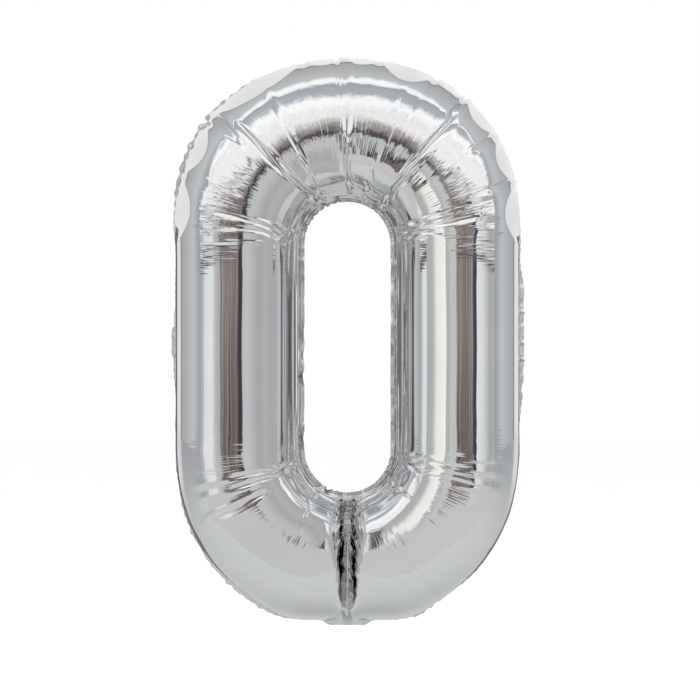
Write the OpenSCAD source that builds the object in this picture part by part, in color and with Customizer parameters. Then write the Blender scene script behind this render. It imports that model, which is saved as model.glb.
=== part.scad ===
// Foil number balloon in the shape of a zero. Two film panels are welded to each other along an
// outer and an inner border and swell into a ring-shaped tube. A flat self-sealing valve of two
// films runs up inside from the bottom border, and the filling tail below it folds at the seam.
// +Z is up, +X is right seen from the front, and the front faces -Y. The origin is the middle of
// the top edge, where the balloon hangs.

/* [Outline] */
// Height over the weld border
overall_h = 865; // [800:5:940]
// Width over the weld border
overall_w = 537; // [500:1:580]
// Clear width of the hole, between the inner borders
hole_w = 131; // [100:1:150]
// Clear height of the hole, between the inner borders
hole_h = 442; // [380:1:480]
// Drop from the top edge to the top of the hole
hole_drop = 221; // [200:1:240]

/* [Panels] */
// Width of the weld border around the outside
outer_border = 8; // [4:0.5:14]
// Width of the weld border around the hole
inner_border = 7; // [4:0.5:12]
// Swell of each panel in front of or behind the weld plane
panel_swell = 98; // [70:1:100]
// Panel film thickness, a stand-in for a far thinner real film
film_t = 0.6; // [0.5:0.1:1]

/* [Valve] */
// Width of the two valve films
valve_w = 34; // [20:1:40]
// Length of the valve films above the fold
valve_up = 150; // [80:5:170]
// Length of the valve films below the fold
valve_down = 42; // [20:1:50]
// Thickness of one valve film
valve_t = 0.2; // [0.1:0.05:0.3]

/* [Tail] */
// Width of the filling tail
tail_w = 44; // [42:1:70]
// Length of the filling tail from the fold to its end
tail_l = 60; // [52:1:90]
// Widening on each side where the tail meets the border
tail_flare = 8; // [2:1:12]
// Turn of the folded tail, back and up from hanging straight down
tail_fold = 110; // [0:1:112]
// Clearance from the fold line to the border and to the tail
fold_gap = 1.2; // [1.1:0.1:1.5]

/* [Hidden] */

ARC_STEPS = 24;      // stations round each half turn of the ring
SIDE_STEPS = 6;      // stations down each straight side
SWELL_STEPS = 14;    // facets across one panel, from border to border
EPS = 0.05;          // overshoot of a cutting solid
FLARE_FN = 48;       // smoothness of the tail's flare

outer_r = overall_w / 2;
hole_r = hole_w / 2;
fold_z = -overall_h - fold_gap;

// A station is a pair of points [x, z]: one on the outer edge and one on the edge of the hole.
function on_arc(r, centre_z, turn) = [r * sin(turn), centre_z + r * cos(turn)];
function between(a, b, part) = a + (b - a) * part;
function arc_station(turn, outer_z, hole_z) =
    [on_arc(outer_r, outer_z, turn), on_arc(hole_r, hole_z, turn)];
function top_station(turn) = arc_station(turn, -outer_r, -hole_drop - hole_r);
function bottom_station(turn) = arc_station(turn, outer_r - overall_h, hole_r - hole_drop - hole_h);
function half_turn(step) = 180 * step / ARC_STEPS;

stations = concat(
    [for (i = [0:ARC_STEPS]) top_station(-90 + half_turn(i))],
    [for (i = [1:SIDE_STEPS - 1]) between(top_station(90), bottom_station(90), i / SIDE_STEPS)],
    [for (i = [0:ARC_STEPS]) bottom_station(90 + half_turn(i))],
    [for (i = [1:SIDE_STEPS - 1]) between(bottom_station(-90), top_station(-90), i / SIDE_STEPS)]);

// One panel's section between its two edges, as points [out, y], where out runs from the middle
// between the edges towards the outer edge. The borders lie flat on the weld plane y = 0.
function swell_arc(middle, reach, y0, turns) =
    [for (turn = turns) [middle + reach * cos(turn), -y0 - (panel_swell - film_t) * sin(turn)]];
function section(half) =
    let (middle = (inner_border - outer_border) / 2,
         reach = half - (inner_border + outer_border) / 2,
         step = 180 / SWELL_STEPS)
    concat([[half, 0], [half, -film_t]],
           swell_arc(middle, reach, film_t, [0:step:180]),
           [[-half, -film_t], [-half, 0]],
           swell_arc(middle, reach - film_t, 0, [180:-step:0]));

// The section placed at a station, square to the line between the station's two edges.
function ring_at(station) =
    let (middle = (station[0] + station[1]) / 2,
         span = station[0] - station[1],
         out = span / norm(span))
    [for (p = section(norm(span) / 2)) [middle[0] + out[0] * p[0], p[1], middle[1] + out[1] * p[0]]];

// A closed loop of equal rings of points, joined by triangles.
module loop_of(rings) {
    size = len(rings[0]);
    count = len(rings);
    points = [for (ring = rings) for (p = ring) p];
    faces = [for (i = [0:count - 1], j = [0:size - 1])
                 let (a = i * size, b = ((i + 1) % count) * size, k = (j + 1) % size)
                 each [[a + j, b + j, b + k], [a + j, b + k, a + k]]];
    polyhedron(points, faces);
}

// The front panel's solid, with the shallow recess in its border that the valve film fills.
module panel() {
    difference() {
        loop_of([for (station = stations) ring_at(station)]);
        translate([-valve_w / 2, -valve_t, -overall_h - EPS])
            cube([valve_w, valve_t + EPS, outer_border + 2 * film_t + EPS]);
    }
}

// A flat strip of film centred on x = 0 in front of the weld plane, from z = low to z = high.
module strip(width, thickness, low, high) {
    translate([-width / 2, -thickness, low]) cube([width, thickness, high - low]);
}

// The tail's outline, hanging down from the fold line at y = 0 and widening to meet the border.
module tail_outline() {
    translate([-tail_w / 2, -tail_l]) square([tail_w, tail_l - fold_gap]);
    for (side = [0, 1]) mirror([side, 0])
        difference() {
            translate([tail_w / 2 - EPS, -fold_gap - tail_flare])
                square([tail_flare + EPS, tail_flare]);
            translate([tail_w / 2 + tail_flare, -fold_gap - tail_flare])
                circle(r = tail_flare, $fn = FLARE_FN);
        }
}

// The tail's front ply while it hangs, with the recess that its valve film fills.
module tail_ply() {
    difference() {
        rotate([90, 0, 0]) linear_extrude(film_t) tail_outline();
        strip(valve_w, valve_t + EPS, -valve_down, EPS);
    }
}

// Moves what hangs straight down from the fold line to the tail's folded place.
module folded() {
    translate([0, 0, fold_z]) rotate([tail_fold, 0, 0]) children();
}

module front_panel() {
    color("silver") panel();
}

module back_panel() {
    color("lightgray") mirror([0, 1, 0]) panel();
}

module valve_front_film() {
    color("whitesmoke") strip(valve_w, valve_t, -overall_h, fold_z + valve_up);
}

module valve_back_film() {
    color("gainsboro") mirror([0, 1, 0]) strip(valve_w, valve_t, -overall_h, fold_z + valve_up);
}

module tail_front_ply() {
    color("silver") folded() tail_ply();
}

module tail_back_ply() {
    color("lightgray") folded() mirror([0, 1, 0]) tail_ply();
}

module tail_valve_front_film() {
    color("whitesmoke") folded() strip(valve_w, valve_t, -valve_down, -fold_gap);
}

module tail_valve_back_film() {
    color("gainsboro") folded() mirror([0, 1, 0]) strip(valve_w, valve_t, -valve_down, -fold_gap);
}

front_panel();
back_panel();
valve_front_film();
valve_back_film();
tail_front_ply();
tail_back_ply();
tail_valve_front_film();
tail_valve_back_film();
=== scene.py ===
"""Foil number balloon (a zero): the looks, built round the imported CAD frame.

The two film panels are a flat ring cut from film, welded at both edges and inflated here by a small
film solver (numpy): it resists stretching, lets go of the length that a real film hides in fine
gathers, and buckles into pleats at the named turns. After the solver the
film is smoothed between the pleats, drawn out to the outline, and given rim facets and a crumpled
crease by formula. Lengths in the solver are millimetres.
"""

import math

import bpy
import numpy as np
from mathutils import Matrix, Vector


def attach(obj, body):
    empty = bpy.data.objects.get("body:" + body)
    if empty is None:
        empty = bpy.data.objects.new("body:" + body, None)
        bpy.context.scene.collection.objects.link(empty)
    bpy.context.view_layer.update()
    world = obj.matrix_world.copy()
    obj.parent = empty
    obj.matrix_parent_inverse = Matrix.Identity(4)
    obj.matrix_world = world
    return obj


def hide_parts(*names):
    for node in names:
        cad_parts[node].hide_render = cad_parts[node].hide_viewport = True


MM = 0.001
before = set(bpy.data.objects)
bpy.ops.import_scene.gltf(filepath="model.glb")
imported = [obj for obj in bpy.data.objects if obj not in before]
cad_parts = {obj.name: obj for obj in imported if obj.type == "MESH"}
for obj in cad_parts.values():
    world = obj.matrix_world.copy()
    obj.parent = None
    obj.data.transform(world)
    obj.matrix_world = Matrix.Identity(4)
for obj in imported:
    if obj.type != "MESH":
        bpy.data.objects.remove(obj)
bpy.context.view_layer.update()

# ---------------- the cut of the film
HOLE_W, HOLE_TOP, HOLE_BOTTOM = 145.0, -214.0, -671.0    # weld round the hole, mm
STROKE_SIDE, STROKE_TOP, STROKE_BOTTOM = 189.5, 212.0, 187.0   # weld to weld, inflated
BULGE_TOP, BULGE_BOTTOM = 8.5, 9.0   # extra stroke half way round each quarter of the arcs
# fuller lobes each side of the bottom: turn from the bottom and half width in degrees, reach in mm
LOBE_TURN, LOBE_HALF, LOBE_REACH = 20.0, 12.0, 9.0
ARC_TIGHT = 0.02   # how much shorter the film is cut across the tube in the arcs
SECTION_SIDE, SECTION_ARC = 0.4, 0.5   # how egg-shaped the tube's section is
# the crease at the bottom, in the shape aimed at: depth as a share, half width in mm, start across
CREASE_DEPTH, CREASE_HALF, CREASE_START = 0.93, 9.0, 0.22
SIDE_COLUMNS, ARC_COLUMNS, SECTION_ROWS = 22, 46, 14   # coarsest grid
ARC_BLEND = 24   # columns over which the straight sides turn into the arcs, on the coarsest grid
CREST_RADIUS = 166.0   # from the arc's centre to the crest of the tube
LEVELS = 3
# steps, first and last pressure, pull of the whole film and of the outer weld towards the aim
LEVEL_STEPS = ((2000, 2e-4, 3e-5, 0.01, 0.02),
               (1500, 3e-5, 6e-6, 0.003, 0.006),
               (1000, 6e-6, 2e-6, 0.002, 0.003))
SPEED_KEPT, BEND = 0.97, 0.0006   # share of the speed kept each step, and resistance to bending
WELD_HOLD, WELD_HOLD_HALF = 0.03, 50.0   # firmer hold on the outer weld, and how far from the bottom, degrees
HOLE_HOLD = 0.02   # hold on the weld round the hole
CREASE_COLUMNS = 12   # columns each side of the crease that may not cross the middle, on the coarsest grid
TIGHTEN_EVERY = 5   # steps between two corrections of the film's length
START_NOISE, REFINE_NOISE = 0.5, 0.125   # seeded unevenness that lets the film buckle, mm
# deep pleats: turn at the outer weld and at the hole (degrees clockwise from the top), half width in
# mm at the crest, share of the spare length it takes up, and the part of the section it spans
PLEATS = (
    (-88, -87, 4, 0.7, 0.42, 0.80), (-83, -82, 4, 0.6, 0.40, 0.70), (-77, -77, 4, 0.8, 0.38, 0.85),
    (-68, -70, 4, 0.7, 0.00, 0.35), (-49, -36, 7, 1.0, 0.00, 0.95), (-26, -31, 4, 0.8, 0.30, 0.90),
    (-14, -14, 3, 0.5, 0.00, 0.15), (-2, 3, 5, 0.9, 0.00, 0.90), (10, 10, 3, 0.5, 0.00, 0.15),
    (28, 27, 3, 0.7, 0.00, 0.20), (21, 19, 4, 0.7, 0.35, 0.90), (39, 42, 7, 1.0, 0.00, 0.95),
    (54, 55, 4, 0.9, 0.00, 0.30), (70, 70, 4, 0.9, 0.00, 0.30), (72, 74, 4, 0.7, 0.35, 0.85),
    (79, 80, 4, 0.8, 0.40, 0.85), (85, 86, 4, 0.7, 0.42, 0.80), (93, 93, 4, 0.7, 0.45, 0.80),
    (98, 98, 4, 0.7, 0.45, 0.80), (104, 105, 4, 0.8, 0.42, 0.80), (128, 125, 4, 0.6, 0.45, 0.85),
    (150, 148, 4, 0.7, 0.00, 0.20), (210, 215, 4, 0.6, 0.50, 0.90), (242, 246, 5, 0.9, 0.32, 0.60),
    (252, 252, 4, 0.8, 0.45, 0.85), (258, 257, 4, 0.8, 0.45, 0.80))


def angle_from(degrees, centre):
    """Turn from `centre`, between -180 and 180 degrees."""
    return (degrees - centre + 180) % 360 - 180


def off_bottom(turn):
    """How far each turn is from the bottom, in degrees."""
    return np.abs(angle_from(np.degrees(turn), 180))


def unit(v):
    """Vectors scaled to length 1."""
    return v / (np.linalg.norm(v, axis=-1, keepdims=True) + 1e-12)


def ring_columns(scale):
    """Weld points [x, z] of the inflated ring on a grid `scale` times the coarsest, outer and at the hole.

    Also each column's turn from the top, and 1 for the columns of the straight sides."""
    n_side, n_arc = SIDE_COLUMNS * scale, ARC_COLUMNS * scale
    half, r = n_arc // 2, HOLE_W / 2
    turn = np.pi * np.concatenate([
        1 + np.arange(half) / n_arc, np.full(n_side, 1.5), 1.5 + np.arange(n_arc) / n_arc,
        np.full(n_side, 2.5), 2.5 + np.arange(half) / n_arc])
    low, high, part = HOLE_BOTTOM + r, HOLE_TOP - r, np.arange(n_side) / n_side
    centre = np.concatenate([
        np.full(half, low), low + (high - low) * part, np.full(n_arc, high),
        high + (low - high) * part, np.full(half, low)])
    up = np.cos(turn)
    stroke = STROKE_SIDE + (np.where(up > 0, STROKE_TOP, STROKE_BOTTOM) - STROKE_SIDE) * np.abs(up)
    stroke += np.where(up > 0, BULGE_TOP, BULGE_BOTTOM) * np.sin(2 * turn) ** 2
    from_bottom = off_bottom(turn)
    stroke += LOBE_REACH * np.exp(-((from_bottom - LOBE_TURN) / LOBE_HALF) ** 2)
    out = np.stack([np.sin(turn), up], -1)
    middle = np.stack([np.zeros_like(centre), centre], -1)
    straight = np.zeros(len(turn))
    straight[half:half + n_side] = 1
    straight[half + n_side + n_arc:half + 2 * n_side + n_arc] = 1
    return middle + out * (r + stroke)[:, None], middle + out * r, turn, straight


def ring_smooth(values, width):
    """Values round the closed ring, smoothed over `width` columns."""
    width = max(int(width) | 1, 3)
    kernel = np.hanning(width + 2)[1:-1]
    padded = np.concatenate([values[-width:], values, values[:width]])
    return np.convolve(padded, kernel / kernel.sum(), "same")[width:-width]


def egg(eps, rows, fine=400):
    """Half a tube section from outer (+1) to inner (-1) weld, more curved outside.

    Gives the points' places and depths and the section's length."""
    def walk(size):
        across, depth, heading, path = 1.0, 0.0, np.pi / 2, [(1.0, 0.0)]
        step = np.pi / fine
        while heading > -np.pi / 2 and len(path) < 4 * fine:
            bend = size * (1 + eps * across) * step
            heading -= bend
            across -= np.cos(heading + bend / 2) * step
            depth += np.sin(heading + bend / 2) * step
            path.append((across, depth))
        return np.array(path)
    low, high = 0.3, 3.0
    for _ in range(40):
        size = (low + high) / 2
        if walk(size)[-1, 0] < -1:
            low = size
        else:
            high = size
    path = walk(size)
    part = np.linspace(0, 1, len(path))
    path[:, 1] -= part * path[-1, 1]
    path[:, 0] -= part * (path[-1, 0] + 1)
    at = np.linspace(0, 1, rows + 1)
    return np.interp(at, part, path[:, 0]), np.interp(at, part, path[:, 1]), (len(path) - 1) * np.pi / fine


def inflated_aim(outer, hole, eps, rows):
    """The smooth ring that the film is drawn towards, rows 0..rows in front and back again behind."""
    middle, span = (outer + hole) / 2, outer - hole
    reach = np.linalg.norm(span, axis=1)
    out, r = span / reach[:, None], reach / 2
    table = [egg(e, rows) for e in np.linspace(0, 0.9, 19)]
    place = np.clip(eps / 0.05, 0, 17.999)
    k = place.astype(int)
    f = place - k
    places, depths, lengths = (np.array([t[i] for t in table]) for i in range(3))
    s = places[k] * (1 - f)[:, None] + places[k + 1] * f[:, None]
    y = (depths[k] * (1 - f)[:, None] + depths[k + 1] * f[:, None]) * r[:, None]
    xz = middle[:, None, :] + out[:, None, :] * (s * r[:, None])[..., None]
    front = np.stack([xz[..., 0], -y, xz[..., 1]], -1)
    back = np.stack([xz[..., 0], y, xz[..., 1]], -1)
    return np.concatenate([front, back[:, -2:0:-1]], 1), (lengths[k] * (1 - f) + lengths[k + 1] * f) * r


class Film:
    """A closed film on a grid [3, columns round the ring, rows round the tube]."""

    def __init__(self, points, flat):
        self.P = np.ascontiguousarray(points.transpose(2, 0, 1))
        self.N, self.M = points.shape[:2]
        self.nv = self.M // 2
        cut = flat.transpose(2, 0, 1)
        along, across = np.roll(cut, -1, 1), np.roll(cut, -1, 2)
        pairs = ((along, cut), (across, cut), (np.roll(along, -1, 2), cut), (along, across))
        self.rest = [np.sqrt(((a - b) ** 2).sum(0)) for a, b in pairs]
        self.give = [np.zeros_like(r) for r in self.rest]   # shortens a rest length until it holds
        self.slack = np.zeros((self.N, self.M))   # share of the length that fine gathers hide
        self.stiff = np.zeros((self.N, self.M))   # resistance to being pushed together, along and across
        self.stiff_across = np.zeros((self.N, self.M))
        self.sign = 1.0 if self.normals()[1, :, self.nv // 2].mean() < 0 else -1.0

    def pull(self, d, k, at, stiff, low):
        """How far the two ends of each edge d move: together if too long, apart if shorter than allowed."""
        length = np.sqrt(d[0] * d[0] + d[1] * d[1] + d[2] * d[2]) + 1e-9
        rest = self.rest[k][at]
        move = 0.5 * np.maximum(length - rest + self.give[k][at], 0)
        if stiff is not None:
            move = move + 0.5 * stiff * np.minimum(length - rest * low, 0)
        return d * (move / length)

    def hold_lengths(self):
        """One pass over all edges, along, across and both diagonals, every second one at a time."""
        P = self.P
        for first in (0, 1):
            a, b, at = P[:, first::2], P[:, 1 - first::2], np.s_[first::2]
            c = self.pull(np.roll(b, -first, 1) - a, 0, at, self.stiff[at], 1 - self.slack[at])
            a += c
            b -= np.roll(c, first, 1)
        for first in (0, 1):
            a, b, at = P[:, :, first::2], P[:, :, 1 - first::2], np.s_[:, first::2]
            c = self.pull(np.roll(b, -first, 2) - a, 1, at, self.stiff_across[at], 1.0)
            a += c
            b -= np.roll(c, first, 2)
        for first in (0, 1):
            a, b, at = P[:, first::2], P[:, 1 - first::2], np.s_[first::2]
            ahead = b if first == 0 else np.roll(b, -1, 1)
            c = self.pull(np.roll(ahead, -1, 2) - a, 2, at, None, 1)
            a += c
            c = np.roll(c, 1, 2)
            b -= c if first == 0 else np.roll(c, 1, 1)
            ahead = b if first == 0 else np.roll(b, -1, 1)
            c = self.pull(np.roll(a, -1, 2) - ahead, 3, at, None, 1)
            b += c if first == 0 else np.roll(c, 1, 1)
            a -= np.roll(c, 1, 2)

    def normals(self):
        """Normals of the film, as long as four times the area that each point carries."""
        P = self.P
        u = np.roll(P, -1, 1) - np.roll(P, 1, 1)
        v = np.roll(P, -1, 2) - np.roll(P, 1, 2)
        return np.stack([u[1] * v[2] - u[2] * v[1], u[2] * v[0] - u[0] * v[2], u[0] * v[1] - u[1] * v[0]])

    def resist_bending(self, amount):
        """Evens out the curvature, except across the welds, where the film is free to fold."""
        P = self.P
        u = np.roll(P, -1, 1) + np.roll(P, 1, 1) - 2 * P
        v = np.roll(P, -1, 2) + np.roll(P, 1, 2) - 2 * P
        v[:, :, 0] = 0
        v[:, :, self.nv] = 0
        P -= amount * (np.roll(u, -1, 1) + np.roll(u, 1, 1) - 2 * u)
        P -= amount * (np.roll(v, -1, 2) + np.roll(v, 1, 2) - 2 * v)

    def tighten(self):
        """Corrects for the stretch that is left, so that the film keeps its cut length under pressure."""
        P = self.P
        along, across = np.roll(P, -1, 1), np.roll(P, -1, 2)
        for k, d in enumerate((along - P, across - P, np.roll(along, -1, 2) - P, along - across)):
            length = np.sqrt((d * d).sum(0))
            self.give[k] = np.clip(self.give[k] + 0.05 * (length - self.rest[k]), 0, 0.6 * self.rest[k])


def finer(P, nv):
    """The grid doubled both ways, cubic between points and straight beside the welds."""
    n, m = P.shape[1:]
    out = np.empty((3, 2 * n, m))
    out[:, 0::2] = P
    out[:, 1::2] = (9 * (P + np.roll(P, -1, 1)) - np.roll(P, 1, 1) - np.roll(P, -2, 1)) / 16
    P, out = out, np.empty((3, 2 * n, 2 * m))
    out[:, :, 0::2] = P
    middle = (9 * (P + np.roll(P, -1, 2)) - np.roll(P, 1, 2) - np.roll(P, -2, 2)) / 16
    straight = (P + np.roll(P, -1, 2)) / 2
    for j in (m - 1, 0, nv - 1, nv):
        middle[:, :, j] = straight[:, :, j]
    out[:, :, 1::2] = middle
    return out


def rise(x, start, end):
    """A smooth step from 0 at `start` to 1 at `end`."""
    t = np.clip((x - start) / (end - start), 0, 1)
    return t * t * (3 - 2 * t)


def across_film(rows):
    """Where each row of the closed section lies: 0 at the outer weld, 1 at the hole, back to 0 behind."""
    index = np.arange(2 * rows)
    return np.minimum(index, 2 * rows - index) / rows


def pleat_share(turn, straight, rows):
    """How much of the spare length the pleats take up, for each column and row of both panels."""
    degrees = np.degrees(turn)[:, None]
    across = (np.arange(rows + 1) / rows)[None]
    share = np.zeros((len(turn), rows + 1))
    for outer, inner, half, amount, start, end in PLEATS:
        away = np.radians(angle_from(degrees, outer + (inner - outer) * across)) * CREST_RADIUS
        window = 1 - rise(across, end - 0.1, end + 0.1)
        if start > 0:
            window = window * rise(across, start - 0.12, start + 0.02)
        share = np.maximum(share, amount * np.exp(-(away / half) ** 2) * window)
    share *= 1 - straight[:, None]
    return np.concatenate([share, share[:, -2:0:-1]], 1)


def level_setup(level):
    """The cut, the shape aimed at and the columns at one grid level."""
    k = 2 ** level
    rows = SECTION_ROWS * k
    outer, hole, turn, straight = ring_columns(k)
    arc = ring_smooth(1 - straight, ARC_BLEND * k)
    aim, length = inflated_aim(outer, hole, SECTION_SIDE + (SECTION_ARC - SECTION_SIDE) * arc, rows)
    out = unit(outer - hole)
    length = length * (1 - ARC_TIGHT * arc)
    across = np.arange(rows + 1)[None, :, None] / rows
    cut = (hole + out * length[:, None])[:, None] * (1 - across) + hole[:, None] * across
    cut = np.concatenate([cut, cut[:, -2:0:-1]], 1)
    part = across_film(rows)
    depth = CREASE_DEPTH * rise(part, CREASE_START - 0.1, CREASE_START + 0.1)[None]
    pinch = 1 - depth * np.exp(-(np.abs(aim[..., 0]) / CREASE_HALF) ** 1.5)
    aim[..., 1] *= np.where(aim[..., 2] < HOLE_BOTTOM - 3, pinch, 1.0)
    return rows, cut, aim, turn, straight, arc


def inflate():
    """The inflated film as points [3, columns, rows round the tube].

    Also its rows in one panel, each column's turn, and how far each column belongs to an arc."""
    rng = np.random.default_rng(4)
    film = None
    for level in range(LEVELS):
        rows, cut, aim, turn, straight, arc = level_setup(level)
        if film is None:
            start = aim + rng.normal(0, START_NOISE, aim.shape)
        else:
            start = finer(film.P, rows // 2).transpose(1, 2, 0)
            start = start + rng.normal(0, REFINE_NOISE, aim.shape)
        film = Film(start, cut)
        target = np.ascontiguousarray(aim.transpose(2, 0, 1))
        inflated = np.sqrt(((np.roll(target, -1, 1) - target) ** 2).sum(0))
        spare = np.clip(1 - inflated / film.rest[0], 0, 0.5)
        from_bottom = off_bottom(turn)[:, None]
        share = np.maximum(pleat_share(turn, straight, rows), np.exp(-(from_bottom / 6.0) ** 2))
        film.slack = np.maximum(spare + 0.03, 0.1) * (1 - share)
        film.stiff = 0.05 + 0.35 * np.clip(share * 1.5, 0, 1)
        film.stiff_across = 0.02 + 0.3 * np.exp(-(from_bottom / 5.0) ** 2) * np.ones((1, film.M))
        steps, first, last, pull, weld_pull = LEVEL_STEPS[level]
        hold = np.full((1, film.N, film.M), pull) * (1 - 0.85 * share)[None]
        weld_hold = WELD_HOLD * np.exp(-(from_bottom[:, 0] / WELD_HOLD_HALF) ** 4)
        hold[:, :, 0] = np.maximum(weld_pull, weld_hold)
        hold[:, :, rows] = HOLE_HOLD
        near = CREASE_COLUMNS * 2 ** level
        before = film.P.copy()
        for step in range(steps):
            pressure = first * (last / first) ** (step / steps)
            speed = (film.P - before) * SPEED_KEPT
            before = film.P.copy()
            film.P += speed
            film.P += pressure * film.sign / 4 * film.normals() + hold * (target - film.P)
            film.hold_lengths()
            film.resist_bending(BEND)
            film.P[0, 1:near] = np.minimum(film.P[0, 1:near], -0.2)
            film.P[0, -near + 1:] = np.maximum(film.P[0, -near + 1:], 0.2)
            film.P[0, 0] *= 0.9
            if step % TIGHTEN_EVERY == 0:
                film.tighten()
    return film.P, rows, turn, arc


# ---------------- meshes from the film
def add_object(name, data):
    """An object in the scene that holds a mesh, light or camera."""
    made = bpy.data.objects.new(name, data)
    bpy.context.collection.objects.link(made)
    return made


def grid_faces(n, m, wrap=True):
    """Quads of an n by m grid of points, closed round the first way if wrap."""
    index = np.arange(n * m).reshape(n, m)
    ahead = np.roll(index, -1, 0)
    a, b, c, d = index[:, :-1], ahead[:, :-1], ahead[:, 1:], index[:, 1:]
    if not wrap:
        a, b, c, d = a[:-1], b[:-1], c[:-1], d[:-1]
    return np.stack([a, b, c, d], -1).reshape(-1, 4)


def make_mesh(name, points, faces, material, uv=None, layers=()):
    """A smooth mesh from arrays; uv is one [u, v] a point, layers are (name, one value a point)."""
    mesh = bpy.data.meshes.new(name)
    mesh.vertices.add(len(points))
    mesh.vertices.foreach_set("co", np.asarray(points, np.float32).ravel())
    mesh.loops.add(faces.size)
    mesh.loops.foreach_set("vertex_index", faces.ravel().astype(np.int32))
    mesh.polygons.add(len(faces))
    mesh.polygons.foreach_set("loop_start", (np.arange(len(faces)) * 4).astype(np.int32))
    mesh.update(calc_edges=True)
    mesh.shade_smooth()
    if uv is not None:
        layer = mesh.uv_layers.new(name="film")
        layer.data.foreach_set("uv", np.asarray(uv, np.float32)[faces.ravel()].ravel())
    for label, values in layers:
        attribute = mesh.attributes.new(label, "FLOAT", "POINT")
        attribute.data.foreach_set("value", np.asarray(values, np.float32).ravel())
    mesh.validate()
    mesh.materials.append(material)
    return add_object(name, mesh)


# ---------------- materials
def grey(value):
    """A neutral colour."""
    return (value, value, value)


class Nodes:
    """Short names for wiring a node tree."""

    def __init__(self, tree):
        self.tree = tree

    def add(self, kind, **inputs):
        """A node with its inputs set or linked: a name for a socket's name, i0, i1 for its number."""
        node = self.tree.nodes.new("ShaderNode" + kind)
        settings = inputs.pop("settings", {})
        for key, value in settings.items():
            setattr(node, key, value)
        for key, value in inputs.items():
            self.put(node, key, value)
        return node

    def put(self, node, key, value):
        """Links a socket to an input, or sets the input's own value."""
        name = key.replace("_", " ")
        numbered = key[0] == "i" and key[1:].isdigit()
        socket = node.inputs[int(key[1:])] if numbered else node.inputs[name]
        if isinstance(value, bpy.types.NodeSocket):
            self.tree.links.new(value, socket)
        else:
            socket.default_value = value

    def math(self, operation, a, b=0.0):
        """The result of one Math node."""
        return self.add("Math", i0=a, i1=b, settings={"operation": operation}).outputs[0]

    def multiply_add(self, a, by, plus):
        """a * by + plus."""
        node = self.add("Math", i0=a, i1=by, i2=plus, settings={"operation": "MULTIPLY_ADD"})
        return node.outputs[0]

    def ramp(self, fac, stops, interpolation="LINEAR"):
        """A colour ramp with stops (place, colour)."""
        node = self.add("ValToRGB", i0=fac)
        elements = node.color_ramp.elements
        node.color_ramp.interpolation = interpolation
        while len(elements) < len(stops):
            elements.new(0.5)
        for element, (at, colour) in zip(elements, stops):
            element.position = at
            element.color = tuple(colour) + (1.0,) if len(colour) == 3 else colour
        return node.outputs[0]

    def mask(self, fac, *stops):
        """A ramp of plain numbers, with stops (place, 0 to 1)."""
        return self.ramp(fac, [(at, grey(value)) for at, value in stops])

    def noise(self, vector, scale=1.0, detail=2.0, **inputs):
        """The value of a noise texture."""
        return self.add("TexNoise", Vector=vector, Scale=scale, Detail=detail, **inputs).outputs[0]

    def scaled(self, a, b, by_a, by_b):
        """A vector from two numbers, each scaled on its own."""
        first, second = self.math("MULTIPLY", a, by_a), self.math("MULTIPLY", b, by_b)
        return self.add("CombineXYZ", i0=first, i1=second).outputs[0]

    def mix(self, fac, a, b, blend="MIX"):
        """Two colours mixed by `fac`."""
        node = self.add("Mix", settings={"data_type": "RGBA", "blend_type": blend})
        self.put(node, "i0", fac)
        self.put(node, "i6", a)
        self.put(node, "i7", b)
        return node.outputs[2]


def new_material(name):
    """A material, its nodes and its Principled shader."""
    material = bpy.data.materials.new(name)
    material.use_nodes = True
    tree = material.node_tree
    shader = tree.nodes["Principled BSDF"]
    return material, Nodes(tree), shader


def silver_film_material():
    """Metallised film: a mirror with fine gathers, a faint sag between them and a duller weld."""
    material, n, shader = new_material("silver_film")
    uv = n.add("UVMap", settings={"uv_map": "film"}).outputs[0]
    split = n.add("SeparateXYZ", i0=uv)
    u, v = split.outputs[0], split.outputs[1]
    gather = n.add("Attribute", settings={"attribute_name": "gather"}).outputs["Fac"]
    weld = n.add("Attribute", settings={"attribute_name": "weld"}).outputs["Fac"]

    def stretched(per_u, per_v, detail=1.0):
        return n.noise(n.scaled(u, v, per_u, per_v), detail=detail, Roughness=0.5)

    fine = stretched(1 / 0.0026, 1 / 0.05)
    broad = stretched(1 / 0.0075, 1 / 0.08)
    patch = stretched(1 / 0.03, 1 / 0.02, detail=2.0)
    teeth = n.math("ADD", fine, n.math("MULTIPLY", broad, 0.9))
    some = n.math("MULTIPLY", gather, n.math("MULTIPLY", patch, 1.6))
    height = n.math("MULTIPLY", teeth, n.math("MULTIPLY", some, 0.55))
    sag = stretched(1 / 0.05, 1 / 0.05, detail=2.0)
    height = n.math("ADD", height, n.math("MULTIPLY", sag, 0.06))
    knurl = n.noise(n.add("CombineXYZ", i0=u, i1=v).outputs[0], scale=900.0)
    height = n.math("ADD", height, n.math("MULTIPLY", n.math("MULTIPLY", knurl, weld), 0.25))
    bump = n.add("Bump", Height=height, Strength=1.0, Distance=0.0011).outputs[0]

    tone = stretched(1 / 0.12, 1 / 0.08, detail=3.0)
    colour = n.ramp(tone, ((0.3, (0.68, 0.69, 0.70)), (0.7, (0.73, 0.73, 0.73))))
    dull = n.ramp(weld, ((0.0, grey(1)), (1.0, (0.93, 0.93, 0.94))))
    n.put(shader, "Base_Color", n.mix(1.0, colour, dull, "MULTIPLY"))
    shader.inputs["Metallic"].default_value = 1.0
    smear = n.multiply_add(tone, 0.05, 0.015)
    n.put(shader, "Roughness", n.math("ADD", smear, n.math("MULTIPLY", weld, 0.12)))
    n.put(shader, "Normal", bump)
    return material


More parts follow.
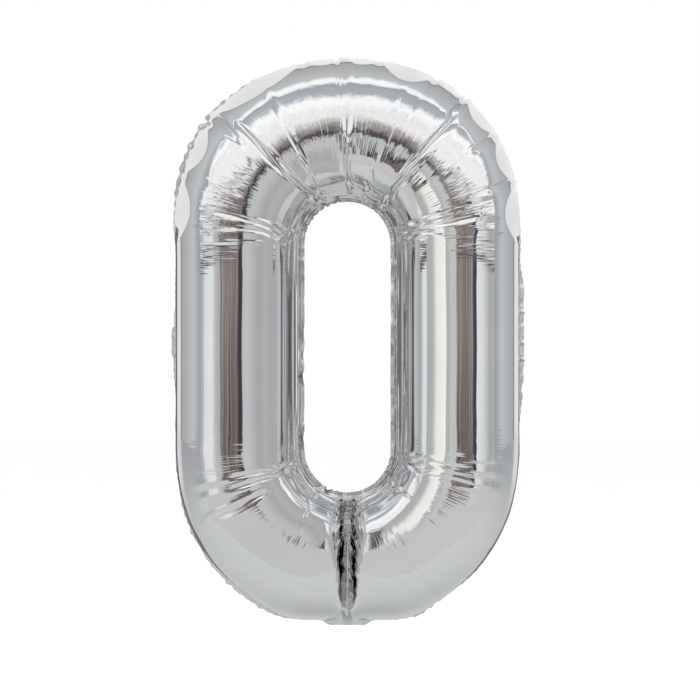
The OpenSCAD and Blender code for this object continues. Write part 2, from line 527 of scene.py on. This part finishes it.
def valve_film_material():
    """Clear valve film, slightly milky, with a fine pull along it."""
    material, n, shader = new_material("valve_film")
    uv = n.add("UVMap", settings={"uv_map": "film"}).outputs[0]
    streak = n.noise(n.add("Mapping", Vector=uv, Scale=(1500, 60, 1)).outputs[0])
    n.put(shader, "Base_Color", n.ramp(streak, ((0.3, (0.80, 0.83, 0.85)), (0.7, (0.92, 0.94, 0.95)))))
    n.put(shader, "Roughness", n.ramp(streak, ((0.2, grey(0.12)), (0.8, grey(0.26)))))
    shader.inputs["Alpha"].default_value = 0.6
    shader.inputs["IOR"].default_value = 1.5
    n.put(shader, "Normal", n.add("Bump", Height=streak, Strength=0.3, Distance=0.0003).outputs[0])
    return material


# ---------------- panels
OUTER_FLANGE, INNER_FLANGE, FLANGE_ROWS = 8.0, 7.0, 4   # widths of the weld borders, and their rows
FOLD_Z = -866.2   # the line that the tail folds on
PLY_GAP = 0.12   # each panel's border stands this far from the weld plane
CAD_DEPTH = 206.0   # depth allowed round the CAD solid
MIDDLE_Z = -440.0   # a point well inside the outer weld and the hole, to tell in from out
CREST_LENGTH, SECTION_LENGTH = 1670.0, 295.0   # round the ring at the crest, and weld to weld over the tube
WELD_SMOOTH = 41   # columns that a weld's direction is taken over
FACET_PART, FACET_FLAT = 0.235, 0.88   # share of the section that a rim facet spans, and how flat it is
FACET_GAP = 18.0   # rim pleats closer than this, in degrees, have smaller facets
ARC_END = 90.0   # turn at which the upper arc meets the straight sides
# where the outer border stands out instead of lying back: place round the ring from the bottom
# clockwise seen from the front (0 to 1), half width, degrees
FLAPS = ((0.070, 0.035, 50), (0.120, 0.020, 30), (0.253, 0.030, 50), (0.390, 0.050, 45),
         (0.739, 0.055, 78), (0.950, 0.010, 35))
BORDER_FOLD = 92   # how far the outer border lies back elsewhere, in degrees
# how strongly the film gathers at places across it, from the outer weld (0) to the hole (1)
GATHER_PLACES = (0.20, 0.32, 0.52, 0.60, 0.74, 0.82, 0.95, 1.0)
GATHER_AMOUNTS = (0, 1, 1, 0.25, 0.2, 1.0, 0.6, 0.1)
TAIL_RISE, TAIL_ROOM = np.radians(20.0), 2.2   # slope of the folded tail, and the room left above it
TAIL_ZONE = 34.0   # half the width of border that stays flat where the tail leaves
TAIL_CLEAR = 24.0   # half the width of film that is lifted clear of the folded tail
FILM_BELOW, WELD_BELOW = -800, -700   # heights under which film and weld can be near the tail
CALM_COLUMNS, CALM_PASSES, FIT_COLUMNS = 35, 6, 33   # how widely wrinkles and the outline are smoothed
CORE_DEPTH, CORE_HALF = 0.72, 6.5   # how much deeper the crease's core is made, and its half width
CRUMPLE_HALF, CRUMPLE_CELL = 13.0, 3   # half width of the crumpled film, and grid points to a crumple
CRUMPLES = ((1, 2.6), (2, 1.6), (0, 0.8))   # coordinate and size of the crumples
BACK = np.array([0.0, 1.0, 0.0])


def flange(weld, out, width, fold, wave, rows=FLANGE_ROWS):
    """Rows of points from the weld outwards, turned back by `fold` and rippled by `wave`."""
    made = []
    back = BACK[None] * np.ones_like(out)
    for k in range(1, rows + 1):
        part = k / rows
        lean = fold * (0.8 + 0.2 * part)
        way = np.cos(lean)[:, None] * out + np.sin(lean)[:, None] * back
        side = -np.sin(lean)[:, None] * out + np.cos(lean)[:, None] * back
        made.append(weld + way * (width * part) + side * (wave * part)[:, None])
    return made


def ring_noise(rng, n, waves, keep):
    """Seeded noise round the ring: `waves` cycles on average, `keep` how wide the band of cycles is."""
    cycles = np.arange(n // 2 + 1)
    size = np.exp(-((cycles - waves) / (keep * waves)) ** 2)
    values = np.fft.irfft(size * np.exp(2j * np.pi * rng.random(n // 2 + 1)), n)
    return values / values.std()


def fit_weld(grid, rows):
    """Draws the film out so that its outer weld follows the ring's outline, keeping each pleat's pinch."""
    goal = ring_columns(len(grid) // (2 * (SIDE_COLUMNS + ARC_COLUMNS)))[0]
    part = across_film(rows)
    hold = (1 - rise(part, 0.0, 0.95))[None]
    edge = (1 - rise(part, 0.0, 0.12))[None]
    tail_zone = near_tail(goal)
    for i, axis in ((0, 0), (1, 2)):
        short = goal[:, i] - grid[:, 0, axis]
        even = ring_smooth(short, FIT_COLUMNS)
        grid[..., axis] += even[:, None] * hold + (tail_zone * (short - even))[:, None] * edge


def facet_reach(turn):
    """How far across the film the rim facet reaches at each turn: lenses between the upper rim pleats."""
    cusps = [outer for outer, _, _, _, start, _ in PLEATS if start == 0 and abs(outer) < ARC_END]
    cusps = np.sort(np.array(cusps + [-ARC_END, ARC_END]))
    place = angle_from(np.degrees(turn), 0)
    left = np.clip(np.searchsorted(cusps, place) - 1, 0, len(cusps) - 2)
    gap = cusps[left + 1] - cusps[left]
    along = np.clip((place - cusps[left]) / gap, 0, 1)
    inside = np.abs(place) < ARC_END - 0.5
    return FACET_PART * np.minimum(1, gap / FACET_GAP) * np.sqrt(4 * along * (1 - along)) * inside


def facet_rim(grid, rows, turn):
    """Flattens the film beside the outer weld into lens-shaped facets, in front and behind."""
    m = 2 * rows
    for i, last in enumerate(facet_reach(turn) * rows):
        if last < 2:
            continue
        whole = int(last)
        part = (np.arange(1, whole + 1) / last)[:, None]
        for way in (1, -1):
            below, above = grid[i, (way * whole) % m], grid[i, (way * (whole + 1)) % m]
            edge = below * (1 - last + whole) + above * (last - whole)
            index = (way * np.arange(1, whole + 1)) % m
            flat = grid[i, 0] * (1 - part) + edge * part
            grid[i, index] += (flat - grid[i, index]) * FACET_FLAT


def clear_tail(grid):
    """Lifts the film just above where the folded tail lies, in front and behind."""
    limit = FOLD_Z + np.abs(grid[..., 1]) * np.tan(TAIL_RISE) + TAIL_ROOM
    under = np.exp(-(np.abs(grid[..., 0]) / TAIL_CLEAR) ** 6) * (grid[..., 2] < FILM_BELOW)
    grid[..., 2] += under * np.maximum(limit - grid[..., 2], 0)


def near_tail(xz):
    """1 where the tail leaves the ring and 0 elsewhere."""
    return np.exp(-(np.abs(xz[:, 0]) / TAIL_ZONE) ** 6) * (xz[:, 1] < WELD_BELOW)


def smooth_rows(grid, width):
    """The grid smoothed along the ring, one row and coordinate at a time."""
    lines = grid.reshape(len(grid), -1)
    return np.apply_along_axis(lambda line: ring_smooth(line, width), 0, lines).reshape(grid.shape)


def calm(grid, rows, turn, arc):
    """Takes small wrinkles out between the pleats, along the ring and, near the hole, across it."""
    part = across_film(rows)
    share = pleat_share(turn, 1 - arc, rows) ** 0.3 * 1.3
    from_bottom = off_bottom(turn)[:, None]
    keep = np.clip(np.maximum(share, np.exp(-(from_bottom / 6.5) ** 4)), 0, 1)
    rim = 1 - rise(part, 0.18, 0.34)
    inner = rise(part, 0.50, 0.66) * (1 - 0.8 * rise(part, 0.93, 0.99))
    zone = np.maximum(rim, 0.85 * inner)
    weight = ((1 - keep) * np.maximum(zone, 0.35)[None])[..., None]
    grid += (smooth_rows(grid, CALM_COLUMNS) - grid) * weight
    across = grid.copy()
    for _ in range(CALM_PASSES):
        across = (np.roll(across, 1, 1) + 2 * across + np.roll(across, -1, 1)) / 4
    grid += (across - grid) * ((1 - keep) * inner[None])[..., None]


def crumple_crease(grid, rows, rng):
    """Deepens the core of the bottom crease and crumples it."""
    n, m = grid.shape[:2]
    part = across_film(rows)
    span = rise(part, 0.16, 0.30)[None] * (1 - rise(part, 0.90, 0.98))[None]
    below = (grid[..., 2] < HOLE_BOTTOM - 6) * span
    x = grid[..., 0]
    core = np.exp(-(np.abs(x) / CORE_HALF) ** 2) * below
    near = np.exp(-(np.abs(x) / CRUMPLE_HALF) ** 4) * below
    grid[..., 1] *= 1 - CORE_DEPTH * core
    spots = rng.normal(0, 1, (3, n // CRUMPLE_CELL + 1, m // CRUMPLE_CELL + 1))
    spots = spots.repeat(CRUMPLE_CELL, 1).repeat(CRUMPLE_CELL, 2)[:, :n, :m]
    for axis in (1, 2):
        for _ in range(2):
            spots = (np.roll(spots, 1, axis) + 2 * spots + np.roll(spots, -1, axis)) / 4
    for axis, amount in CRUMPLES:
        grid[..., axis] += amount * spots[axis] * near


def shape_film(P, rows, turn, arc, rng):
    """The solver's film as a finer grid [columns, rows round the tube, 3], shaped further by formula."""
    grid = finer(P, rows // 2).transpose(1, 2, 0).copy()
    calm(grid, rows, turn, arc)
    fit_weld(grid, rows)
    facet_rim(grid, rows, turn)
    grid[..., 1] *= min(1.0, CAD_DEPTH / np.ptp(grid[..., 1]))
    crumple_crease(grid, rows, rng)
    clear_tail(grid)
    return grid


def away_from_middle(weld):
    """At each point of a weld, the direction in the weld plane that leaves the middle of the ring."""
    smooth = np.stack([ring_smooth(weld[:, i], WELD_SMOOTH) for i in range(3)], -1)
    along = unit(np.roll(smooth, -2, 0) - np.roll(smooth, 2, 0))
    out = unit(np.cross(BACK, along))
    return out * np.sign((out * (smooth - [0, 0, MIDDLE_Z])).sum(-1).mean())


def outer_border(outer, arc, rng):
    """Rows of the outer weld border: folded back, rippled, out at the flaps and flat at the tail."""
    n = len(outer)
    lap = np.arange(n) / n
    opening = np.zeros(n)
    for at, half, angle in FLAPS:
        opening = np.maximum(opening, angle * np.exp(-np.abs((lap - at) / half) ** 3))
    tail_zone = near_tail(outer[:, ::2])
    fold = np.radians(np.clip(BORDER_FOLD - opening + 6 * ring_noise(rng, n, 24, 0.5), 3, 98))
    fold *= 1 - tail_zone
    teeth = ring_noise(rng, n, 170, 0.3) * 0.8 * (0.3 + 0.7 * arc) * (0.4 + opening / 60)
    wave = (teeth + ring_noise(rng, n, 60, 0.4) * 0.8 * opening / 50) * (1 - tail_zone)
    border = flange(outer, away_from_middle(outer), OUTER_FLANGE, fold, wave)
    for row in border:
        row[:, 2] = np.where(tail_zone > 0.5, np.maximum(row[:, 2], FOLD_Z + 0.2), row[:, 2])
    return border


def hole_border(inner, arc, rng):
    """Rows of the weld border round the hole."""
    n = len(inner)
    fold = np.radians(18 * ring_noise(rng, n, 30, 0.5))
    wave = ring_noise(rng, n, 90, 0.4) * 0.7 * (0.4 + 0.6 * arc)
    return flange(inner, -away_from_middle(inner), INNER_FLANGE, fold, wave)


def film_coordinates(n, rows):
    """u round the ring and v across the film in metres, for each point of a panel."""
    u = np.repeat((np.arange(n) * (CREST_LENGTH / n) * MM)[:, None], rows + 1 + 2 * FLANGE_ROWS, 1)
    v_tube = np.arange(rows + 1) / rows * SECTION_LENGTH * MM
    steps = np.arange(1, FLANGE_ROWS + 1) / FLANGE_ROWS
    v_row = np.concatenate([(-OUTER_FLANGE * MM) * steps[::-1], v_tube,
                            v_tube[-1] + INNER_FLANGE * MM * steps])
    return np.stack([u, np.repeat(v_row[None], n, 0)], -1).reshape(-1, 2)


def film_layers(n, rows, turn, arc):
    """Where the material gathers the film and where it is welded, for each point of a panel."""
    borders = ((0, 0), (FLANGE_ROWS, FLANGE_ROWS))
    weld = np.pad(np.zeros((n, rows + 1)), borders, constant_values=1)
    zone = np.interp(np.arange(rows + 1) / rows, GATHER_PLACES, GATHER_AMOUNTS)
    quiet = 1 - 0.55 * np.sin(2 * turn) ** 2
    gather = zone[None, :] * (quiet * np.clip(arc * 1.25 - 0.2, 0, 1))[:, None]
    return ("gather", np.pad(gather, borders)), ("weld", weld)


def build_panels(P, rows, turn, arc, material):
    """The front and the back panel, each with its part of the tube and both weld borders."""
    rows *= 2
    turn = np.repeat(turn, 2)
    arc = ring_smooth(np.repeat(arc, 2), 9)
    rng = np.random.default_rng(11)
    grid = shape_film(P, rows, turn, arc, rng)
    n = len(grid)
    border = outer_border(grid[:, 0], arc, rng)
    lip = hole_border(grid[:, rows], arc, rng)
    uv, layers = film_coordinates(n, rows), film_layers(n, rows, turn, arc)
    made = []
    for name, side in (("front_film", -1), ("back_film", 1)):
        tube = grid[:, :rows + 1] if side < 0 else np.concatenate([grid[:, :1], grid[:, :rows - 1:-1]], 1)
        shift = np.array([0, side * PLY_GAP, 0])
        points = np.stack([p + shift for p in border[::-1]] + [tube[:, j] for j in range(rows + 1)]
                          + [p + shift for p in lip], 1)
        faces = grid_faces(n, points.shape[1])
        if side > 0:
            faces = faces[:, ::-1]
        made.append(make_mesh(name, points.reshape(-1, 3) * MM, faces, material, uv=uv, layers=layers))
    return made


# ---------------- valve films and tail
VALVE_HALF, VALVE_UP, VALVE_DOWN = 17.0, 150.0, 42.0   # half width, length above the fold and below it
SEAM_GAP = 0.6   # the valve films stop this far from the fold line
TAIL_HALF, TAIL_LENGTH, TAIL_FLARE = 22.0, 60.0, 8.0   # half width, length, and widening at the border
TAIL_ROUND, TAIL_ROUND_FROM = 4.0, 55.0   # how far the end's corners draw in, and from where
TAIL_CURL = 3.0   # how far the tail's end bends off the straight
TAIL_ANGLE = math.radians(110)   # turn of the folded tail from hanging straight down


def strip_points(half_width, low, high, nx, ns, y_of):
    """x, y and s on a grid over a strip: s runs along it from `low` to `high`, y comes from y_of(x, s)."""
    s, x = np.meshgrid(np.linspace(low, high, ns), np.linspace(-1, 1, nx))
    x = x * half_width(s)
    return x, y_of(x, s), s


def hang_to_rest(x, y, s):
    """Turns points that hang below the fold line (s runs down) to the folded rest pose."""
    c, k = math.cos(TAIL_ANGLE), math.sin(TAIL_ANGLE)
    return np.stack([x, y * c + s * k, FOLD_Z + y * k - s * c], -1)


def valve_half(s):
    """Half the width of a valve film, the same all along."""
    return VALVE_HALF + 0 * s


def tail_half(s):
    """Half the width of the tail: flared at the border, with rounded corners at the end."""
    flare = TAIL_FLARE * (1 - np.sqrt(1 - np.clip(1 - s / TAIL_FLARE, 0, 1) ** 2))
    return TAIL_HALF + flare - TAIL_ROUND * np.clip((s - TAIL_ROUND_FROM) / 5, 0, 1) ** 2


def strip_mesh(name, points, x, s, material, layers=()):
    """A film mesh over a strip's grid of points."""
    uv = (np.stack([x, s], -1) * MM).reshape(-1, 2)
    faces = grid_faces(*x.shape, wrap=False)
    return make_mesh(name, points.reshape(-1, 3) * MM, faces, material, uv=uv, layers=layers)


def valve_film(name, side, clear):
    """One valve film above the fold, slightly bowed between its welded edges."""
    def bow(x, s):
        swell = 0.5 * (1 - (x / VALVE_HALF) ** 2) * np.clip((s - FOLD_Z) / 30, 0, 1)
        return side * (0.08 + swell * (1 + 0.4 * np.sin(s / 9.0)))
    x, y, s = strip_points(valve_half, FOLD_Z + SEAM_GAP, FOLD_Z + VALVE_UP, 13, 61, bow)
    return strip_mesh(name, np.stack([x, y, s], -1), x, s, clear)


def tail_ply(name, side, silver):
    """One ply of the tail, with welded edges and a mouth that stands slightly open."""
    def bow(x, s):
        mouth = np.clip(s / TAIL_LENGTH, 0, 1) ** 2
        open_by = 0.15 + 1.1 * mouth * np.clip(1 - (x / TAIL_HALF) ** 2, 0, 1)
        return side * open_by - TAIL_CURL * mouth + 0.25 * np.sin(s / 4 + x / 6) * mouth
    x, y, s = strip_points(tail_half, 0.0, TAIL_LENGTH, 33, 49, bow)
    edge = np.clip((np.abs(x) / tail_half(s) - 0.8) / 0.1, 0, 1)
    return strip_mesh(name, hang_to_rest(x, y, s), x, s, silver,
                      layers=(("gather", 0.15 * (1 - edge)), ("weld", edge)))


def tail_valve_film(name, side, clear):
    """The end of one valve film inside the tail, bent as the tail is."""
    def bow(x, s):
        return side * 0.06 - TAIL_CURL * (s / TAIL_LENGTH) ** 2
    x, y, s = strip_points(valve_half, SEAM_GAP, VALVE_DOWN, 13, 25, bow)
    return strip_mesh(name, hang_to_rest(x, y, s), x, s, clear)


def declare(piece, body, node):
    """Says what a piece rides on and which CAD node it replaces."""
    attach(piece, body)
    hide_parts(node)


silver = silver_film_material()
clear = valve_film_material()
front_film, back_film = build_panels(*inflate(), silver)
declare(front_film, "balloon", "front_panel")
declare(back_film, "balloon", "back_panel")
for build, stem, node_end, body, material, slot in (
        (valve_film, "valve_", "_film", "balloon", clear, "valve_film"),
        (tail_ply, "tail_", "_ply", "tail", silver, "silver_film"),
        (tail_valve_film, "tail_valve_", "_film", "tail", clear, "valve_film")):
    for end, side in (("front", -1), ("back", 1)):
        name = stem + end
        declare(build(name, side, material), body, name + node_end)


# ---------------- studio
# The camera sees a plain pale room. The film mirrors cards that the camera does not see.
CARD_Y, CARD_HALF, CARD_LOW, CARD_HIGH = -0.6, 1.5, -1.24, 1.2   # the card in front, metres
HEIGHT_BASE, HEIGHT_SPAN = 1.3, 2.6   # height 0 to 1 on that card, from z
DIVIDER_X, DIVIDER_NEAR, DIVIDER_LOW, DIVIDER_HIGH = 0.035, -0.13, -0.70, -0.27
DIVIDER_SPAN = 0.5   # depth 0 to 1 on the divider, from the card back
FLAG_Y, FLAG_LOW, FLAG_HIGH = 0.5, -1.0, -0.2
FLAG_SIDES = (("left", -0.22, -0.60), ("right", 0.29, 0.53))
FLOOR_HALF, FLOOR_Z = 14.0, -1.25
LIGHT_ABOVE = ((0.66, grey(1.35)), (0.74, (0.60, 0.64, 0.68)), (1.0, (0.46, 0.49, 0.54)))
OFF_WHITE = (1.3, 1.3, 1.28)


def flat_object(name, corners):
    """An object with one four-cornered face."""
    mesh = bpy.data.meshes.new(name)
    mesh.from_pydata(corners, [], [(0, 1, 2, 3)])
    return add_object(name, mesh)


def emission_card(name, corners, colour_of):
    """A flat card that only mirror reflections see. colour_of(n, x, z) gives its colour from its place."""
    card = flat_object(name, corners)
    material = bpy.data.materials.new(name)
    material.use_nodes = True
    tree = material.node_tree
    tree.nodes.clear()
    n = Nodes(tree)
    place = n.add("SeparateXYZ", i0=n.add("NewGeometry").outputs["Position"])
    colour = colour_of(n, place.outputs[0], place.outputs[2])
    glow = n.add("Emission", Color=colour, Strength=1.0)
    target = n.add("OutputMaterial")
    tree.links.new(glow.outputs[0], target.inputs[0])
    card.data.materials.append(material)
    card.visible_camera = False
    card.visible_diffuse = False
    card.visible_shadow = False
    card.visible_transmission = False


def facing(x0, x1, y, low, high):
    """Corners of an upright card that faces the balloon."""
    return [(x0, y, low), (x1, y, low), (x1, y, high), (x0, y, high)]


def tube_columns(n, x, z, height):
    """Upright stripes for the straight tubes: pale middles, brown dark sides, light strips beyond."""
    ripple = n.noise(n.scaled(x, z, 26.0, 0.5), detail=3.0)
    brown = n.ramp(ripple, (
        (0.34, (0.10, 0.085, 0.085)), (0.42, (0.44, 0.34, 0.30)), (0.5, (0.21, 0.17, 0.165)),
        (0.57, (0.54, 0.49, 0.47)), (0.66, (0.27, 0.20, 0.185))))
    across = n.math("DIVIDE", n.math("ADD", x, CARD_HALF), 2 * CARD_HALF)
    columns = n.ramp(across, (
        (0.00, (0.60, 0.61, 0.62)), (0.09, (0.62, 0.63, 0.64)), (0.13, (0.98, 1.0, 1.0)),
        (0.26, (1.05, 1.05, 1.03)), (0.295, (0.66, 0.67, 0.68)), (0.335, grey(0.55)),
        (0.444, (0.07, 0.07, 0.09)), (0.468, (0.05, 0.055, 0.08)), (0.473, (0.70, 0.71, 0.71)),
        (0.545, (0.74, 0.74, 0.72)), (0.652, (0.08, 0.08, 0.11)), (0.676, (0.06, 0.06, 0.09)),
        (0.684, (1.02, 1.03, 1.02)), (0.74, (0.92, 0.92, 0.91)), (0.81, (0.66, 0.67, 0.67)),
        (0.85, (0.52, 0.54, 0.55)), (1.0, (0.60, 0.61, 0.62))))
    is_brown = n.mask(across, (0.0, 0), (0.333, 0), (0.342, 1), (0.444, 1), (0.448, 0),
                      (0.548, 0), (0.556, 1), (0.650, 1), (0.656, 0))
    shade = n.mask(height, (0.22, 0.55), (0.30, 0.80), (0.36, 1.0))
    return n.mix(is_brown, columns, n.mix(1.0, brown, shade, "MULTIPLY"))


def arc_bands(n, x, height, tubes):
    """Level bands for the arcs, a dark one under a bright one, in place of the stripes higher up."""
    sideways = n.math("MINIMUM", n.math("MULTIPLY", n.math("ABSOLUTE", x), 0.08), 0.012)
    lifted = n.math("ADD", height, sideways)
    is_upper = n.mask(lifted, (0.0, 0), (0.415, 0), (0.418, 1), (1.0, 1))
    upper = n.ramp(lifted, (
        (0.418, (0.26, 0.23, 0.22)), (0.426, (0.08, 0.08, 0.09)), (0.438, (0.12, 0.11, 0.12)),
        (0.456, (0.34, 0.30, 0.29)), (0.484, (0.55, 0.51, 0.49)), (0.505, (1.0, 0.98, 0.95)),
        (0.530, OFF_WHITE)) + LIGHT_ABOVE)
    wall = n.mix(is_upper, tubes, upper)
    # at the sides only thin dark lines cross the bright part
    lines = n.ramp(height, (
        (0.393, (0.30, 0.27, 0.26)), (0.396, (0.08, 0.08, 0.09)), (0.402, (0.14, 0.13, 0.13)),
        (0.407, (1.05, 1.05, 1.04)), (0.428, grey(1.0)), (0.432, (0.30, 0.28, 0.28)),
        (0.440, (0.34, 0.31, 0.30)), (0.444, grey(1.1)), (0.50, OFF_WHITE)) + LIGHT_ABOVE)
    is_line = n.mask(height, (0.0, 0), (0.391, 0), (0.393, 1))
    is_side = n.mask(n.math("ABSOLUTE", x), (0.12, 0), (0.20, 1))
    return n.mix(n.math("MULTIPLY", is_line, is_side), wall, lines)


def room_colours(n, x, z):
    """What stands in front of the balloon: stripes, level bands above them, and the floor below."""
    height = n.math("DIVIDE", n.math("ADD", z, HEIGHT_BASE), HEIGHT_SPAN)
    wall = arc_bands(n, x, height, tube_columns(n, x, z, height))
    # fine upright streaks cross the light part
    fine = n.noise(n.scaled(x, z, 95.0, 0.8))
    streak = n.ramp(fine, ((0.40, (0.58, 0.54, 0.51)), (0.50, grey(1.0))))
    is_light = n.mask(height, (0.47, 0), (0.50, 1), (0.57, 1), (0.62, 0))
    wall = n.mix(is_light, wall, n.mix(1.0, wall, streak, "MULTIPLY"))
    # the floor in front reaches higher nearer the middle
    slope = n.math("MULTIPLY", n.math("SUBTRACT", n.math("ABSOLUTE", x), 0.45), 0.06)
    low = n.mask(n.math("ADD", height, slope), (0.0, 1), (0.226, 1), (0.236, 0))
    return n.mix(low, wall, (0.74, 0.745, 0.74, 1))


def divider_colours(n, x, z):
    """A pale card edge-on to the camera, so that each side tube sees only its own half of the room."""
    y = n.add("SeparateXYZ", i0=n.add("NewGeometry").outputs["Position"]).outputs[1]
    depth = n.math("DIVIDE", n.math("SUBTRACT", y, CARD_Y), DIVIDER_SPAN)
    right = n.ramp(depth, (
        (0.0, grey(0.60)), (0.38, grey(0.62)), (0.43, (1.25, 1.25, 1.18)),
        (0.78, (1.12, 1.12, 1.06)), (0.86, (0.62, 0.62, 0.61)), (1.0, grey(0.56))))
    left = n.ramp(depth, (
        (0.0, grey(0.70)), (0.4, grey(0.62)), (0.6, (0.52, 0.53, 0.54)),
        (0.8, grey(0.60)), (1.0, grey(0.50))))
    return n.mix(n.math("LESS_THAN", x, DIVIDER_X), right, left)


def flag_colours(n, x, z):
    """Brown flags behind, which the tube shows only beside its hole and in its back."""
    ripple = n.noise(n.scaled(x, z, 30.0, 0.5), detail=3.0)
    return n.ramp(ripple, (
        (0.36, (0.10, 0.085, 0.085)), (0.5, (0.30, 0.26, 0.25)), (0.64, (0.16, 0.14, 0.135))))


def build_cards():
    """The cards that the film mirrors: one in front, a two-sided divider, and two flags behind."""
    emission_card("front_card", facing(-CARD_HALF, CARD_HALF, CARD_Y, CARD_LOW, CARD_HIGH), room_colours)
    for name, side in (("divider_left", -1), ("divider_right", 1)):
        x = DIVIDER_X + 0.001 * side
        corners = [(x, CARD_Y, DIVIDER_LOW), (x, DIVIDER_NEAR, DIVIDER_LOW),
                   (x, DIVIDER_NEAR, DIVIDER_HIGH), (x, CARD_Y, DIVIDER_HIGH)]
        emission_card(name, corners, divider_colours)
    for side, near, far in FLAG_SIDES:
        emission_card("back_flag_" + side, facing(near, far, FLAG_Y, FLAG_LOW, FLAG_HIGH), flag_colours)


def build_world():
    """For the film, a white backdrop behind, its dark edge, grey walls and a hoop of light overhead.

    The camera itself sees plain white."""
    world = bpy.data.worlds.new("studio")
    bpy.context.scene.world = world
    world.use_nodes = True
    tree = world.node_tree
    n = Nodes(tree)
    x, y, z = n.add("SeparateXYZ", i0=n.add("TexCoord").outputs["Generated"]).outputs
    reach = n.math("SQRT", n.math("ADD", n.math("MULTIPLY", x, x), n.math("MULTIPLY", z, z)))
    upward = n.math("DIVIDE", z, reach)
    rooms = n.ramp(n.multiply_add(y, 0.5, 0.5), (
        (0.0, (0.60, 0.61, 0.62)), (0.25, (0.48, 0.51, 0.55)), (0.33, (0.46, 0.49, 0.54)),
        (0.45, (0.72, 0.74, 0.75)), (0.60, (0.60, 0.61, 0.62)), (0.75, (0.52, 0.53, 0.55)),
        (0.775, (0.36, 0.38, 0.41)), (0.782, (0.16, 0.17, 0.20)), (0.788, (0.16, 0.17, 0.20)),
        (0.797, grey(0.97)), (1.0, grey(1.0))))
    # the hoop of light leans forward at the sides
    lean = n.multiply_add(n.math("SUBTRACT", 1.0, upward), 0.33, 0.22)
    off = n.math("ABSOLUTE", n.math("ADD", y, lean))
    hoop = n.ramp(off, ((0.0, grey(1)), (0.06, grey(0.8)), (0.16, grey(0.0))), "EASE")
    strength = n.mask(n.multiply_add(upward, 0.5, 0.5), (0.0, 0), (0.30, 0.25), (0.6, 1), (1.0, 1))
    rooms = n.mix(n.math("MULTIPLY", hoop, strength), rooms, (1.35, 1.36, 1.36, 1))
    camera = n.add("LightPath").outputs["Is Camera Ray"]
    seen = n.mix(camera, rooms, (1.0, 1.0, 1.0, 1))
    tree.links.new(seen, tree.nodes["Background"].inputs[0])


def build_floor():
    """A pale floor, which the film mirrors darker than the camera sees it."""
    size, z = FLOOR_HALF, FLOOR_Z
    floor = flat_object("floor", [(-size, -size, z), (size, -size, z), (size, size, z), (-size, size, z)])
    material, n, shader = new_material("floor")
    place = n.add("NewGeometry").outputs["Position"]
    pale = n.ramp(n.noise(place, scale=3.0, detail=3.0), ((0.3, grey(0.93)), (0.7, (0.96, 0.96, 0.955))))
    camera = n.add("LightPath").outputs["Is Camera Ray"]
    x, y = n.add("SeparateXYZ", i0=place).outputs[:2]
    reach = n.math("SQRT", n.math("ADD", n.math("MULTIPLY", x, x), n.math("MULTIPLY", y, y)))
    # painted light: the floor glows for all but camera rays, faintly near the balloon and, far behind, about
    # as bright as the backdrop above it; the camera sees an even faint glow
    far = n.mask(n.math("MULTIPLY", reach, 0.1), (0.15, 0), (0.5, 1))
    behind = n.ramp(n.math("DIVIDE", y, reach), ((0.50, (0.10, 0.10, 0.11)), (0.60, grey(0.46))))
    glow = n.mix(far, (0.03, 0.03, 0.03, 1), behind)
    n.put(shader, "Base_Color", n.mix(camera, (0.55, 0.555, 0.55, 1), pale))
    shader.inputs["Roughness"].default_value = 0.7
    n.put(shader, "Emission_Color", n.mix(camera, glow, (0.3, 0.3, 0.3, 1)))
    shader.inputs["Emission Strength"].default_value = 1.0
    shader.inputs["Specular IOR Level"].default_value = 0.0
    floor.data.materials.append(material)


def area_light(name, place, aim, size, power):
    """A round soft light that lights surfaces without showing in the film."""
    data = bpy.data.lights.new(name, "AREA")
    data.shape = "DISK"
    data.size = size
    data.energy = power
    light = add_object(name, data)
    light.location = place
    light.rotation_euler = (Vector(aim) - Vector(place)).to_track_quat("-Z", "Y").to_euler()
    light.visible_glossy = False
    light.visible_camera = False


build_cards()
build_world()
build_floor()
area_light("overhead", (0.0, -0.5, 2.2), (0, 0, -0.6), 2.5, 60)
area_light("left_soft", (-2.0, -2.2, 0.6), (0, 0, -0.4), 1.6, 30)
area_light("right_soft", (2.0, -2.0, 0.6), (0, 0, -0.4), 1.6, 20)

# ---------------- camera
# straight in front: distance, width seen at the balloon, and where the view is centred, metres
VIEW_DISTANCE, VIEW_WIDTH, VIEW_X, VIEW_Z = 3.0, 1.068, 0.0038, -0.447
lens = bpy.data.cameras.new("camera")
lens.sensor_width = 36.0
lens.lens = 36.0 * VIEW_DISTANCE / VIEW_WIDTH
camera = add_object("camera", lens)
camera.location = (VIEW_X, -VIEW_DISTANCE, VIEW_Z)
camera.rotation_euler = (math.radians(90), 0, 0)
bpy.context.scene.camera = camera
bpy.context.scene.view_settings.view_transform = "Standard"
